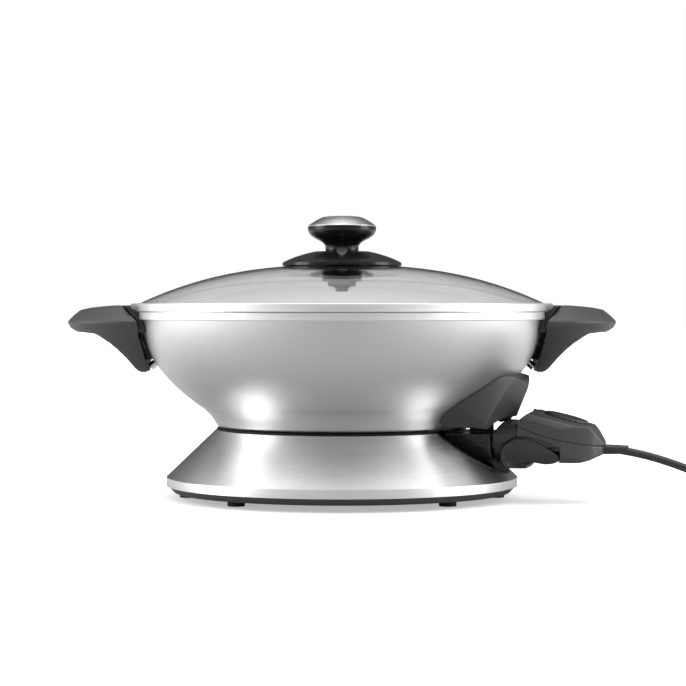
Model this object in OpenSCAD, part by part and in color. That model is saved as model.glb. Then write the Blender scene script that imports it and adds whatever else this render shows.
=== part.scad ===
/* [Bowl] */
// Greatest outer radius of the bowl's curve
wok_r = 186; // [180:1:190]
// Depth of the bowl's curve below its widest plane
wok_depth = 131; // [126:1:134]
// Height of the bowl's lowest point above the table
wok_low_z = 44; // [43:0.5:45]
// Wall of the cast bowl
wok_wall = 3.4; // [3:0.1:4]
// Height of the rim's top face
rim_z = 167.2; // [166:0.2:169]
// How far the rim's band stands out past the bowl's greatest radius
rim_out = 1.8; // [1.6:0.1:2]
// Height of the rim's band
rim_band_h = 7; // [6:0.5:9]
// Outer radius of the ring under the bowl that stands on the base
bowl_foot_r = 111.6; // [110:0.2:112.6]
// Radial width of that ring
bowl_foot_w = 6; // [5:0.5:7]

/* [Base] */
// Radius of the base at its foot
base_r = 157.5; // [154:0.5:160]
// Radius of the base at its top edge
base_top_r = 113.4; // [113:0.1:116]
// Height of the base's top edge
base_top_z = 61.8; // [61:0.1:62.5]
// Height of the polished band's upper edge
band_top_z = 19.7; // [18:0.1:21]
// Height of the skirt's lower edge
band_low_z = 12; // [11:0.5:13]
// Sheet thickness of the skirt
sheet = 1.2; // [0.8:0.1:1.6]
// Height of the tray's underside above the table
tray_z = 6; // [5.5:0.25:6.5]
// Thickness of the tray
tray_t = 2; // [1.5:0.25:2.5]
// Radius of each rubber foot
foot_r = 7.75; // [6:0.25:9]
// Distance of the side feet from the axis
foot_circle_r = 138.6; // [134:0.5:141]
// Thickness of the support ring
seam_t = 1.9; // [1.2:0.1:2]
// Half width of the probe's notch
notch_half_w = 52; // [50:0.5:54]
// Height of the notch's lowest point
notch_low_z = 26.5; // [25:0.5:27]
// Wall of the notch's liner
trim_wall = 1.6; // [1.2:0.1:2]

/* [Lid] */
// How far the glass's edge lies inside the hoop's outer face
glass_in = 5; // [4.6:0.1:5.5]
// Height of the glass's crown
crown_z = 209.4; // [207:0.2:212]
// Height the glass falls from crown to edge
glass_sag = 36; // [34:0.5:36.5]
// Thickness of the glass
glass_t = 4; // [3.5:0.25:4.5]
// How far the lid's steel hoop stands out past the rim's band
hoop_out = 1.2; // [0.9:0.1:1.6]
// Height of the hoop's side
hoop_h = 7; // [6:0.25:7.5]
// Radius of the dome plate under the knob
plate_r = 53.5; // [50:0.5:58]
// Radius of the hole in the glass
glass_hole_r = 15; // [14.5:0.25:16]

/* [Knob] */
// Greatest radius of the knob
knob_r = 30.6; // [28:0.2:33]
// Radius of the knob's neck
neck_r = 14.9; // [14:0.1:16]
// Height of the joint between knob and steel cap
cap_z = 243.7; // [242:0.1:246]
// Height of the steel cap
cap_h = 9.6; // [8:0.1:10]
// Length of the leaf-shaped pointer
pointer_l = 30; // [26:1:32]
// Width of the pointer
pointer_w = 9.4; // [7:0.2:10]

/* [Handles] */
// Distance from the rim's band to a handle's tip
handle_reach = 58.8; // [56:0.2:64]
// Half width of a handle across the grip
handle_half_w = 70; // [68:1:74]
// Distance from the rim's band to the finger gap
gap_from = 15.2; // [14.6:0.2:17]
// Width of the grip outside the finger gap
grip_w = 20; // [18:0.5:22]
// Radius of the stud under each handle
stud_r = 3.5; // [3:0.1:4]

/* [Probe] */
// Angle of the probe's axis below the length axis, seen from above
probe_angle = 15; // [12:0.5:18]
// Half width of the probe
probe_half_w = 30; // [29.5:0.1:30.5]
// Wall of the probe's shells
shell_wall = 2.5; // [2:0.1:3]
// Radius of the thermostat's sensing rod
rod_r = 3.2; // [2.8:0.1:3.6]
// Radius of each heater terminal
terminal_r = 2.4; // [2:0.1:2.6]
// Distance of each terminal from the probe's axis
terminal_v = 12; // [11.5:0.25:13]
// Height of rod and terminals
terminal_z = 51; // [50.5:0.25:51.5]
// Radius of the temperature dial
dial_r = 19.6; // [18:0.2:20]
// Height the dial stands above its pocket's rim
dial_proud = 2.2; // [1:0.1:3]
// Number of ribs round the dial
dial_ribs = 24; // [16:1:30]

/* [Cord] */
// Diameter of the cord
cord_d = 7; // [6:0.5:7]
// Radius of the coil's outer turns
coil_r = 44; // [42:1:46]
// Pitch between turns and between layers
coil_pitch = 7.7; // [7.7:0.1:8.2]

/* [Hidden] */
$fn = 96;

// Clearances
play = 0.4;          // between bodies that move apart
fit = 0.2;           // between pieces of one body
wok_n = 1.9;         // exponent of the bowl's superellipse
glass_n = 2.5;       // exponent of the glass's crown

// Sizes that follow the bowl's
wok_plane_z = wok_low_z + wok_depth;
rim_r = wok_r + rim_out;
hoop_r = rim_r + hoop_out;
glass_r = hoop_r - glass_in;

// Half outline of the bowl: a superellipse, drawn inward by a wall
function wok_z(r, wall = 0) =
    wok_plane_z - (wok_depth - wall) * pow(1 - pow(min(1, r / (wok_r - wall)), wok_n), 1 / wok_n);
// Radius of that outline at a height
function wok_radius(z, wall = 0) =
    (wok_r - wall) * pow(1 - pow(max(0, wok_plane_z - z) / (wok_depth - wall), wok_n), 1 / wok_n);
function wok_curve(wall, r_end, n = 40) =
    [for (i = [0 : n]) let (r = r_end * sin(90 * i / n)) [r, wok_z(r, wall)]];
function reversed(list) = [for (i = [len(list) - 1 : -1 : 0]) list[i]];

// Height of the glass's outer face at a radius
function glass_z(r) = crown_z - glass_sag * pow(r / glass_r, glass_n);
function glass_curve(r0, r1, drop = 0, n = 24) =
    [for (i = [0 : n]) let (r = r0 + (r1 - r0) * i / n) [r, glass_z(r) - drop]];

// Quadratic curve through two ends and a corner
function bend(a, b, c, n = 8) =
    [for (i = [0 : n]) let (t = i / n) a * (1 - t) * (1 - t) + b * 2 * t * (1 - t) + c * t * t];

// The probe's own frame: x runs outward along the probe, z is up
module probe_frame() { rotate([0, 0, -probe_angle]) children(); }
// Outline in (outward, height), given a width across
module side(width) { rotate([90, 0, 0]) linear_extrude(width, center = true) children(); }
// Outline in (across, height), run from one distance to another
module front(u0, u1) { translate([u0, 0, 0]) rotate([90, 0, 90]) linear_extrude(u1 - u0) children(); }
// Outline in (outward, across), between two heights
module plan(z0, z1) { translate([0, 0, z0]) linear_extrude(z1 - z0) children(); }
// Polygon and its mirror image across the vertical
module both(points) { polygon(concat(points, [for (p = reversed(points)) [-p[0], p[1]]])); }
// Flat shape and its mirror image across the outward axis
module both_plan(points) { polygon(concat(points, [for (p = reversed(points)) [p[0], -p[1]]])); }

// ---- Base -------------------------------------------------------------------------------

shoulder_in = 3;         // where the cone starts to turn down, inward of the foot
shoulder_corner = 1;     // corner of that turn, inward of the foot
shoulder_h = 2.8;        // height of the cone's lower end above the band
cone_slope = (base_top_z - band_top_z - shoulder_h) / (base_r - shoulder_in - base_top_r);
function cone_z(r) = base_top_z - cone_slope * (r - base_top_r);
function skirt_curve(t) = concat(
    [[base_top_r - t, base_top_z - t * 1.3]],
    bend([base_r - shoulder_in - t * 0.66, cone_z(base_r - shoulder_in) - t * 0.75],
         [base_r - shoulder_corner - t * 0.85, cone_z(base_r - shoulder_corner) - t * 0.5],
         [base_r - t, band_top_z - t * 0.25]),
    [[base_r - t, band_low_z]]);
lip_w = 9.5;             // inward lip of the skirt's top edge

module notch_shape(grow = 0) {
    a = notch_half_w + grow;
    low = notch_low_z - grow;
    mid = base_top_z - 2.5;
    both(concat([for (i = [0 : 16]) let (q = -90 + 90 * i / 16) [a * cos(q), mid + (mid - low) * sin(q)]],
                [[a, base_top_z + 20]]));
}

module base_skirt() {
    color("silver") difference() {
        union() {
            rotate_extrude($fn = 160) polygon(concat(skirt_curve(0), reversed(skirt_curve(sheet))));
            rotate_extrude($fn = 160) translate([base_top_r - lip_w, base_top_z - sheet])
                square([lip_w, sheet]);
        }
        probe_frame() front(60, base_r + 20) notch_shape(trim_wall + fit);
    }
}

tray_in = sheet + fit;   // the tray's upstand lies this far inside the skirt's face
tray_top_z = tray_z + tray_t;
hub_hole_r = 21;         // hole for the release dial
screw_circle_r = 126;
screw_shank_r = 1.6;
function foot_angle(i) = [0, 43.7, 136.3, 180, 223.7, 316.3][i];
// The side feet stand further out than the other four
function foot_at_r(i) = foot_circle_r - (i % 3 == 0 ? 0 : 12.6);
function screw_angle(i) = 90 + 120 * i;

module base_tray() {
    color([0.17, 0.17, 0.18]) difference() {
        rotate_extrude($fn = 160) polygon([
            [hub_hole_r, tray_z], [base_r - 7, tray_z], [base_r - 1, band_low_z],
            [base_r - tray_in, band_low_z], [base_r - tray_in, band_low_z + 4],
            [base_r - tray_in - tray_t, band_low_z + 4], [base_r - tray_in - tray_t, band_low_z - 1],
            [base_r - 8, tray_top_z], [hub_hole_r, tray_top_z]]);
        for (i = [0 : 5]) rotate(foot_angle(i)) translate([foot_at_r(i), 0, 0]) cylinder(30, r = foot_r / 2.5 + fit);
        for (i = [0 : 2]) rotate(screw_angle(i)) translate([screw_circle_r, 0, 0])
            cylinder(30, r = screw_shank_r + fit / 2, $fn = 24);
    }
}

module seam_ring() {
    color([0.1, 0.1, 0.1]) difference() {
        rotate_extrude($fn = 160) translate([base_top_r - lip_w, base_top_z]) square([lip_w - 0.9, seam_t]);
        probe_frame() front(60, base_r) notch_shape(trim_wall + fit);
    }
}

module notch_trim() {
    color([0.14, 0.14, 0.15]) intersection() {
        probe_frame() difference() {
            front(80, base_r + 10) notch_shape(trim_wall);
            front(60, base_r + 20) notch_shape();
        }
        rotate_extrude($fn = 160) polygon(concat(
            [[base_top_r + 0.6, base_top_z]],
            [for (p = skirt_curve(-0.8)) if (p[1] < base_top_z) p],
            reversed([for (p = skirt_curve(7)) if (p[1] < base_top_z) p]),
            [[base_top_r - 8, base_top_z - 0.1]]));
    }
}

shield_in_r = 27;
shield_z = 20;
shield_r = 118;
module heat_shield() {
    color("gray") difference() {
        rotate_extrude($fn = 120) polygon([
            [shield_in_r, shield_z], [shield_r - 1, shield_z], [shield_r - 1, tray_top_z],
            [screw_circle_r + 6, tray_top_z], [screw_circle_r + 6, tray_top_z + 1],
            [shield_r, tray_top_z + 1], [shield_r, shield_z + 1], [shield_in_r, shield_z + 1]]);
        for (i = [0 : 2]) rotate(screw_angle(i)) translate([screw_circle_r, 0, 0])
            cylinder(30, r = screw_shank_r + fit / 2, $fn = 24);
    }
}

module foot(i) {
    color([0.12, 0.12, 0.12]) rotate(foot_angle(i)) translate([foot_at_r(i), 0, 0]) union() {
        cylinder(tray_z, r = foot_r, $fn = 48);
        cylinder(tray_top_z, r = foot_r / 2.5, $fn = 48);
    }
}

module tray_screw(i) {
    color("gray") rotate(screw_angle(i)) translate([screw_circle_r, 0, 0]) union() {
        translate([0, 0, tray_z - 1.5]) cylinder(1.5, r = 3.4, $fn = 32);
        translate([0, 0, tray_z - 1.5]) cylinder(tray_t + 4.5, r = screw_shank_r, $fn = 24);
        translate([0, 0, tray_top_z + 1]) cylinder(2, r = 3, $fn = 24);
    }
}

// ---- Release dial -----------------------------------------------------------------------

dial_tube_r = hub_hole_r - play;     // outer radius of the turning tube
lug_z = 30;                          // height of the lugs' top face
lug_h = 4;
lug_r = 15;
lug_w = 11;
lock_plate_z = lug_z + 0.6;          // underside of the plate the lugs turn under
lock_plate_t = 3;

module release_dial() {
    color([0.2, 0.2, 0.21]) difference() {
        union() {
            translate([0, 0, tray_z - 3.3]) cylinder(3, r = 32);
            translate([0, 0, tray_z - 3.3]) cylinder(lock_plate_z + lock_plate_t - tray_z + 3.3, r = dial_tube_r);
            translate([-26, -3, 0.8]) cube([52, 6, tray_z - 3.3 - 0.8]);
        }
        translate([0, 0, tray_z]) cylinder(lock_plate_z - tray_z, r = dial_tube_r - 3.6);
        cylinder(80, r = lug_r - 5);
        translate([-lug_r - 0.8, -lug_w / 2 - 0.8, tray_z]) cube([2 * lug_r + 1.6, lug_w + 1.6, 60]);
    }
}

module release_ring() {
    color("dimgray") difference() {
        translate([0, 0, tray_top_z + 0.3]) cylinder(2, r = hub_hole_r + 4);
        cylinder(80, r = dial_tube_r + 0.05);
    }
}

// ---- Bowl -------------------------------------------------------------------------------

bowl_foot_z = base_top_z + seam_t + 0.3;   // the bowl's ring stands here
land_in = 77;                              // ring land that carries the heating element
land_out = 98;
element_circle_r = 87.5;
element_r = 4;
land_z = terminal_z + element_r - 0.5;
rim_low_z = rim_z - rim_band_h;

module bowl() {
    color("darkgray") union() {
        rotate_extrude($fn = 200) polygon(concat(
            [for (p = wok_curve(0, wok_r)) if (p[1] < rim_low_z - 0.2) p],
            [[wok_radius(rim_low_z), rim_low_z], [rim_r - 0.6, rim_low_z], [rim_r, rim_low_z + 0.8],
             [rim_r, rim_z], [wok_radius(rim_z, wok_wall), rim_z]],
            reversed([for (p = wok_curve(wok_wall, wok_r - wok_wall)) if (p[1] < rim_z - 0.2) p])));
        rotate_extrude($fn = 160) polygon([
            [land_in, land_z], [land_out, land_z], [land_out, wok_z(land_out) + 1],
            [land_in, wok_z(land_in) + 1]]);
        rotate_extrude($fn = 160) polygon([
            [bowl_foot_r - bowl_foot_w, bowl_foot_z], [bowl_foot_r, bowl_foot_z],
            [bowl_foot_r + 4.5, bowl_foot_z + 8], [bowl_foot_r + 9, wok_z(bowl_foot_r + 9) + 0.6],
            [bowl_foot_r - bowl_foot_w, wok_z(bowl_foot_r - bowl_foot_w) + 1]]);
    }
}

stub_z = lug_z - lug_h;
module lock_stub() {
    color("gray") difference() {
        union() {
            translate([0, 0, stub_z]) cylinder(60 - stub_z, r = lug_r - 6);
            intersection() {
                translate([-lug_r, -lug_w / 2, stub_z]) cube([2 * lug_r, lug_w, lug_h]);
                translate([0, 0, stub_z]) cylinder(lug_h, r = lug_r);
            }
            translate([0, 0, 40]) cylinder(20, r = 18);
        }
        rotate_extrude($fn = 200) polygon(concat(wok_curve(-fit / 2, 60), [[60, 120], [0, 120]]));
    }
}

leg_angle = asin(terminal_v / element_circle_r);
leg_from = element_circle_r * cos(leg_angle);
leg_end = 110;
module heating_element() {
    color([0.35, 0.3, 0.27]) probe_frame() difference() {
        union() {
            rotate([0, 0, leg_angle]) rotate_extrude(angle = 360 - 2 * leg_angle, $fn = 120)
                translate([element_circle_r, terminal_z]) circle(element_r, $fn = 32);
            for (v = [-terminal_v, terminal_v]) translate([leg_from, v, terminal_z])
                rotate([0, 90, 0]) cylinder(leg_end - leg_from, r = element_r, $fn = 32);
            for (v = [-terminal_v, terminal_v]) translate([leg_from, v, terminal_z]) sphere(element_r + 0.4, $fn = 32);
        }
        translate([-200, -200, land_z - 0.05]) cube([400, 400, 20]);
    }
}

terminal_end = 136;
module terminal(v) {
    color("silver") probe_frame() translate([leg_end, v, terminal_z]) rotate([0, 90, 0]) union() {
        cylinder(3, r = element_r, $fn = 32);
        cylinder(terminal_end - leg_end, r = terminal_r, $fn = 32);
    }
}

sleeve_from = 69;
sleeve_end = land_in - fit;
module sensor_sleeve() {
    color("gray") probe_frame() difference() {
        union() {
            translate([sleeve_from, 0, terminal_z]) rotate([0, 90, 0])
                cylinder(sleeve_end - sleeve_from, r = rod_r + 2, $fn = 40);
            translate([sleeve_from + 1, -2, terminal_z]) cube([sleeve_end - sleeve_from - 2, 4, 14]);
        }
        translate([sleeve_from + 2, 0, terminal_z]) rotate([0, 90, 0]) cylinder(80, r = rod_r + play, $fn = 40);
        rotate_extrude($fn = 200) polygon(concat(wok_curve(-fit / 2, 120), [[120, 160], [0, 160]]));
    }
}

socket_from = 104;
socket_end = 142.5;
socket_top = base_top_z - 0.5;
socket_low = notch_low_z + 10.5;
function socket_half(t) = [[0, socket_low + t], [22 - t / 2, socket_low + t], [29 - t, socket_low + 5 + t / 2],
    [33 - t, 50], [36 - t, socket_top - t], [0, socket_top - t]];
module socket() {
    color([0.06, 0.06, 0.07]) probe_frame() difference() {
        union() {
            front(socket_from, socket_end) both(socket_half(0));
            intersection() {
                translate([socket_from - 4, -30, socket_top - 4]) cube([14, 60, bowl_foot_z - socket_top + 4]);
                rotate_extrude($fn = 120) translate([bowl_foot_r - bowl_foot_w, 0]) square([bowl_foot_w, 100]);
            }
        }
        front(socket_from + 5, socket_end + 5) both(socket_half(2.5));
        for (v = [-terminal_v, terminal_v]) translate([80, v, terminal_z]) rotate([0, 90, 0])
            cylinder(60, r = element_r + fit, $fn = 40);
        translate([80, 0, terminal_z]) rotate([0, 90, 0]) cylinder(60, r = rod_r + 2 + fit, $fn = 40);
    }
}

// Hood over the socket: three outlines intersected
guard_z = 66;
function guard_front(t) = [[0, guard_z - t], [53.5 - t, guard_z - t], [58.4 - t, 74], [63.8 - t, 86.5], [63.6 - t, 97.5],
    [57.6 - t, 107 - t / 2], [48 - t / 2, 110.8 - t], [38.2, 112.8 - t], [16.3, 114 - t], [0, 114.4 - t]];
function guard_side(t) = [[90, guard_z - t], [156 - t, guard_z - t], [160 - t, 74], [166 - t, 87], [170 - t, 101],
    [168.5 - t, 107 - t], [165 - t, 110.5 - t], [150, 113.5 - t], [120, 114.4 - t], [90, 114.4 - t]];
function guard_plan(t) = concat([[90, 66 - t]], bend([112, 65 - t], [150 - t / 2, 62 - t], [166 - t, 30 - t / 2], 14),
    bend([167 - t, 27 - t / 2], [172 - t, 18], [174 - t, 0], 4));
guard_end = 116;         // distance of the hood's sloping end faces from the axis
guard_turn = 14.8;       // each end face turned away from the probe's axis
guard_lean = 21.5;       // each end face leaning outward with height
module guard_block(t) {
    difference() {
        intersection() {
            front(90, 175) both(guard_front(t));
            side(140) polygon(guard_side(t));
            plan(60, 120) both_plan(guard_plan(t));
        }
        for (m = [-1, 1]) rotate([0, 0, m * guard_turn]) rotate([0, guard_lean, 0])
            translate([guard_end - t, -200, -200]) cube([100, 400, 400]);
    }
}
// Rib in the hood's middle, seated on the socket
module guard_rib() {
    intersection() {
        translate([bowl_foot_r, -1.5, socket_top + fit]) cube([60, 3, 60]);
        union() { guard_block(0.5); translate([90, -5, 50]) cube([60, 10, 18]); }
    }
}
module guard() {
    color([0.24, 0.24, 0.25]) difference() {
        probe_frame() difference() {
            union() {
                difference() { guard_block(0); translate([0, 0, -3]) guard_block(3); }
                guard_rib();
            }
            front(collar_from - 4, collar_to + 20) both([[0, 58], [47, 58], [47, 66], [43, 68.8],
                [37, 71.2], [29, 73.4], [14, 75], [0, 75]]);
        }
        rotate_extrude($fn = 200) polygon(concat(
            [[0, 0], [bowl_foot_r + 5.5, 0], [bowl_foot_r + 5.5, bowl_foot_z + 8]],
            [for (p = wok_curve(-0.2, wok_r)) if (p[1] > bowl_foot_z + 11) p], [[0, wok_plane_z]]));
    }
}

// Handle: its front outline, in outward distances from the rim's band, run from front to back
handle_axis_x = rim_r + handle_reach - handle_half_w;
handle_tip_z = 158.3;
handle_outline = [[-20, 173.2], [5.7, 173.2], [18, 172.7], [34.4, 171.1], [handle_reach - 11.6, 168.9],
    [handle_reach + 2, 166.5], [handle_reach + 2, 149.2], [40.8, 149], [29.4, 147.9], [21.8, 142.9], [11.7, 135.2],
    [2.8, 125.2], [-3.5, 116.3], [-7.3, 113.2], [-20, 113.2]];
// Its edge, turned about the handle's own upright axis, in distances inward of the tip
handle_edge = [[-20, 176], [-11.6, 168.9], [-5.5, 164], [0, handle_tip_z], [-2.8, 153], [-7.8, 149.6], [-14, 145],
    [-20, 138], [-34, 127], [-46, 118], [-56, 112]];
// Face towards the bowl: a turned face about the bowl's axis
handle_face = [[-14.8, 111], [-12.8, 118], [-10.8, 125.4], [-8.3, 131], [-3.3, 142], [-0.6, 148], [1.5, 155],
    [4.7, 162.4], [8.7, 169], [11.7, 173.4]];

module handle() {
    color([0.22, 0.22, 0.23]) difference() {
        intersection() {
            translate([handle_axis_x, 0, 0]) rotate_extrude($fn = 120) polygon(concat(
                [[0, 176]], [for (p = handle_edge) [handle_half_w + p[0], p[1]]], [[0, 112]]));
            side(2 * handle_half_w + 2) polygon([for (p = handle_outline) [rim_r + p[0], p[1]]]);
        }
        plan(120, 190) intersection() {
            translate([handle_axis_x, 0]) circle(handle_half_w - grip_w, $fn = 120);
            translate([rim_r + gap_from, -60]) square([60, 120]);
        }
        rotate_extrude($fn = 200) polygon(concat([[0, 100], [rim_r + handle_face[0][0], 100]],
            [for (p = handle_face) [rim_r + p[0], p[1]]], [[rim_r + 14, 180], [0, 180]]));
    }
}

// Space kept by bowl and lid beside a bracket
module handle_envelope(t) {
    rotate_extrude($fn = 200) polygon(concat(
        [for (p = wok_curve(-t, wok_r + t)) if (p[1] < rim_low_z - t - 0.2) p],
        [[wok_radius(rim_low_z - t, -t), rim_low_z - t], [rim_r + t, rim_low_z - t], [rim_r + t, rim_z],
         [hoop_r + 0.8, rim_z], [hoop_r + 0.8, 260], [0, 260]]));
}

bracket_low_z = 124.5;
bracket_half_w = handle_half_w - 6;
module bracket() {
    color([0.08, 0.08, 0.08]) difference() {
        intersection() {
            rotate_extrude($fn = 200) polygon(concat(
                [for (p = handle_face) if (p[1] < 170) [rim_r + p[0] - fit, p[1]]],
                [[rim_r + 10.6, 172.6], [rim_r + 9.4, 172.8], [hoop_r + 0.9, rim_z + 1], [150, rim_z + 1], [150, 111]]));
            front(140, 210) both([[0, bracket_low_z], [16, bracket_low_z], [24, 135], [34, 143.5],
                [bracket_half_w, 150], [bracket_half_w, 173.2], [0, 173.2]]);
        }
        handle_envelope(fit);
    }
}

stud_z = 121.5;
stud_fall = 42;          // the stud stands square to the bowl's wall
stud_l = 6;
module stud() {
    color("silver") translate([wok_radius(stud_z) + 3 * fit, 0, stud_z]) rotate([0, 90 + stud_fall, 0])
        cylinder(stud_l, r = stud_r, $fn = 40);
}

// ---- Lid --------------------------------------------------------------------------------

hoop_low_z = rim_z + play;
hoop_top_z = hoop_low_z + hoop_h;
hoop_skirt_r = wok_r - wok_wall - 2.4;      // drops inside the bowl's rim
module lid_glass() {
    color([0.8, 0.88, 0.9, 0.35]) rotate_extrude($fn = 200) polygon(concat(
        glass_curve(glass_hole_r, glass_r), reversed(glass_curve(glass_hole_r, glass_r, glass_t))));
}

glass_edge_z = glass_z(glass_r) - glass_t;
module lid_hoop() {
    color("silver") union() {
        rotate_extrude($fn = 200) polygon([
            [hoop_r, hoop_low_z], [hoop_r, hoop_top_z - 0.6], [hoop_r - 0.6, hoop_top_z],
            [glass_r - 1.5, hoop_top_z + 0.4], [glass_r - 1.5, glass_z(glass_r - 1.5) + 0.1],
            [glass_r, glass_z(glass_r) + 0.1], [hoop_r - 1.2, glass_z(glass_r) + 0.1],
            [hoop_r - 1.2, hoop_low_z + 1], [hoop_skirt_r, hoop_low_z + 1],
            [hoop_skirt_r - 1, hoop_low_z], [hoop_skirt_r - 1, hoop_low_z - 7],
            [hoop_skirt_r, hoop_low_z - 7], [hoop_skirt_r, hoop_low_z]]);
    }
}

module lid_gasket() {
    color([0.2, 0.2, 0.2]) difference() {
        rotate_extrude($fn = 200) translate([hoop_skirt_r - 2, hoop_low_z + 1])
            square([hoop_r - 1.3 - hoop_skirt_r + 2, glass_z(glass_r) - hoop_low_z - 1]);
        rotate_extrude($fn = 200) polygon(concat(
            glass_curve(glass_hole_r, glass_r), [[glass_r, glass_edge_z]],
            reversed(glass_curve(glass_hole_r, glass_r, glass_t))));
    }
}

// Dome plate: stands on the glass, hollow below
plate_low_z = glass_z(plate_r) + fit;
plate_top_z = 221.4;
plate_top_r = 24;
sleeve_r = glass_hole_r - fit;          // boss sleeve through the glass
vent_circle_r = 9.3;
vent_r = 2.4;
function plate_curve(t) = concat(
    bend([plate_top_r, plate_top_z - t], [plate_r - 12, plate_top_z - 3.5 - t], [plate_r - t, plate_low_z + 3], 10));
module vent_plate() {
    color([0.05, 0.05, 0.06]) difference() {
        rotate_extrude($fn = 120) polygon(concat(
            [[neck_r - 5, plate_top_z]], plate_curve(0), [[plate_r, plate_low_z]],
            [[plate_r - 2, plate_low_z]], reversed(plate_curve(2)), [[neck_r - 5, plate_top_z - 2]]));
        for (i = [0 : 7]) rotate(22.5 + 45 * i) translate([20.5, 0, plate_top_z - 5]) cylinder(10, r = 1.8, $fn = 24);
    }
}

boss_low_z = 197.6;
boss_r = 18;
module lid_boss() {
    color([0.07, 0.07, 0.07]) difference() {
        union() {
            difference() {
                translate([0, 0, boss_low_z]) cylinder(12, r = boss_r);
                rotate_extrude($fn = 120) polygon(concat(
                    glass_curve(0, 40, glass_t + 0.05), [[40, 240], [0, 240]]));
            }
            translate([0, 0, boss_low_z]) cylinder(plate_top_z - 2.2 - boss_low_z, r = sleeve_r - 0.2);
        }
        translate([0, 0, boss_low_z - 1]) cylinder(40, r = 4.4);
        translate([0, 0, boss_low_z + 4]) cylinder(40, r = sleeve_r - 2.5);
        for (i = [0 : 2]) rotate(120 * i) translate([vent_circle_r, 0, boss_low_z - 1]) cylinder(8, r = vent_r, $fn = 32);
    }
}

// ---- Vent knob --------------------------------------------------------------------------

neck_low_z = plate_top_z + play;
module knob() {
    color([0.04, 0.04, 0.05]) difference() {
        rotate_extrude($fn = 96) polygon(concat(
            [[0, neck_low_z], [neck_r, neck_low_z], [neck_r, neck_low_z + 3]],
            bend([neck_r + 0.1, neck_low_z + 3.5], [neck_r + 0.6, neck_low_z + 7.7], [knob_r - 7.3, cap_z - 11], 6),
            bend([knob_r - 6.4, cap_z - 10.4], [knob_r - 0.4, cap_z - 7.1], [knob_r, cap_z - 2.7], 5),
            [[knob_r, cap_z], [0, cap_z]]));
        translate([0, 0, 180]) cylinder(56, r = 3.1, $fn = 32);
    }
}

module knob_cap() {
    color("silver") rotate_extrude($fn = 96) polygon(concat(
        [[0, cap_z], [knob_r, cap_z], [knob_r - 0.4, cap_z + 0.08 * cap_h], [knob_r * 0.892, cap_z + 0.32 * cap_h],
         [knob_r * 0.761, cap_z + 0.6 * cap_h]],
        bend([knob_r * 0.605, cap_z + 0.84 * cap_h], [knob_r * 0.5, cap_z + cap_h], [0, cap_z + cap_h], 6)));
}

module vent_pointer() {
    arc_r = (pow(pointer_l / 2, 2) + pow(pointer_w / 2, 2)) / pointer_w;
    color([0.5, 0.5, 0.52]) difference() {
        intersection() {
            rotate_extrude($fn = 96) polygon(concat(
                [[neck_r + fit, neck_low_z]], [for (p = plate_curve(0)) p + [0, play]], [[plate_r, plate_low_z + 9]],
                [for (p = reversed(plate_curve(0))) p + [0, play + 2.2]],
                [[neck_r + fit + 0.3, neck_low_z + 4.4], [neck_r + fit, neck_low_z + 3]]));
            translate([0, -neck_r - pointer_l / 2 + 1, 200]) linear_extrude(40) intersection() {
                translate([arc_r - pointer_w / 2, 0]) circle(arc_r, $fn = 120);
                translate([pointer_w / 2 - arc_r, 0]) circle(arc_r, $fn = 120);
            }
        }
        translate([-0.5, -neck_r - pointer_l * 0.8, neck_low_z - 1]) cube([1, pointer_l * 0.5, 1.2]);
    }
}

shutter_low_z = 191;
module knob_screw() {
    color("silver") union() {
        translate([0, 0, shutter_low_z - 2]) cylinder(238 - shutter_low_z - 2, r = 3, $fn = 32);
        translate([0, 0, shutter_low_z - 3]) cylinder(3, r = 5.5, $fn = 32);
    }
}

module vent_shutter() {
    color([0.07, 0.07, 0.07]) difference() {
        union() {
            translate([0, 0, shutter_low_z + 3.4]) cylinder(boss_low_z - 0.4 - shutter_low_z - 3.4, r = 12.8);
            translate([0, 0, shutter_low_z]) cylinder(4, r1 = 7, r2 = 9.5);
            for (i = [0 : 5]) rotate(60 * i + 30) translate([11.4, 0, shutter_low_z + 2])
                cylinder(boss_low_z - 0.4 - shutter_low_z - 2, r = 2.4, $fn = 32);
        }
        cylinder(400, r = 3.1, $fn = 32);
        for (i = [0 : 2]) rotate(120 * i + 30) translate([vent_circle_r, 0, 0]) cylinder(300, r = vent_r, $fn = 32);
        cylinder(shutter_low_z + 0.001, r = 30);
    }
}

// ---- Probe ------------------------------------------------------------------------------

collar_from = 143;
collar_to = 165;
probe_top = [177, 81];
probe_slope = 14.5;
tail_u = 238;
tail_z = 47.6;
seam = [[163.5, 72], [165.8, 68.5], [172.4, 64.8], [185.6, 60], [202.7, 56], [220.9, 52.6], [238.2, 50.3]];
function collar_half(t) = [[0, 34 + t], [10, 36.2 + t], [17 - t / 2, 39.4 + t], [22 - t, 43.5 + t / 2],
    [26 - t, 48.5], [29 - t, 54.5], [probe_half_w - t, 61], [28 - t, 66], [22 - t, 70.5 - t], [14, 72 - t], [0, 72 - t]];
function probe_plan_half(t) = concat([[140, probe_half_w - t], [194, probe_half_w - t]],
    bend([204, probe_half_w - 0.6 - t], [226, probe_half_w - 5 - t], [tail_u - 5 - t, 15 - t / 2], 6),
    bend([tail_u - 3 - t, 13 - t / 2], [tail_u - t, 10], [tail_u - t, 4], 3));

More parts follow.
